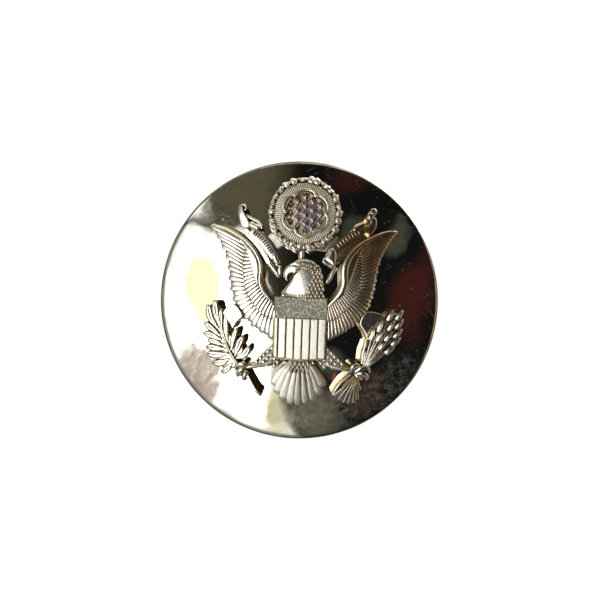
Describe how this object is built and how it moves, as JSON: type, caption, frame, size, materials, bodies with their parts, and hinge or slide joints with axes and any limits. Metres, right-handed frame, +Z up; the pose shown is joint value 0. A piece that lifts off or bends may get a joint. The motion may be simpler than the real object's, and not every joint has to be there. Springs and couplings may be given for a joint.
{
  "type": "cap badge",
  "caption": "Domed brass disc with a pierced relief of an eagle and shield, fixed to a cap by a threaded post, washer and thumb nut.",
  "frame": {"origin": "on the axis of the screw post, in the plane of the rim's flat back, where the badge meets the cap", "axes": "+Z up as worn; the face looks along -Y; +Y along the screw post, into the cap"},
  "size_m": [0.0444, 0.0172, 0.0444],
  "materials": {
    "disc_brass": "mirror polished and domed, with light scratches and tarnish",
    "emblem_gilt": "pale gilt, worn bright on top, brown patina in the hollows",
    "post_brass": "machined thread",
    "fixing_brass": "dull, slightly tarnished",
    "pin_brass": "drawn wire",
    "solder": "soft solder, dull grey",
    "nut_brass": "turned, with a serrated edge"
  },
  "bodies": {
    "badge": {"face_disc": "disc_brass", "eagle_emblem": "emblem_gilt", "upper_emblem_stud": "emblem_gilt", "lower_emblem_stud": "emblem_gilt", "upper_stud_washer": "fixing_brass", "lower_stud_washer": "fixing_brass", "screw_post": "post_brass", "post_seat_washer": "fixing_brass", "clamp_nut": "fixing_brass", "left_locating_pin": "pin_brass", "right_locating_pin": "pin_brass", "left_pin_solder": "solder", "right_pin_solder": "solder"},
    "washer": {"backing_washer": "nut_brass"},
    "nut": {"thumb_nut": "nut_brass"}
  },
  "joints": [
    {"name": "nut_travel", "type": "slide", "parent": "badge", "child": "washer", "axis": [0, 1, 0], "range_m": [0, 0.01111]},
    {"name": "nut_spin", "type": "hinge", "parent": "washer", "child": "nut", "pos_m": [0, 0, 0], "axis": [0, 1, 0], "range_deg": [0, 5040]}
  ],
  "couplings": [
    {"joint": "nut_travel", "follows": "nut_spin", "m_per_rad": 0.00012633}
  ]
}
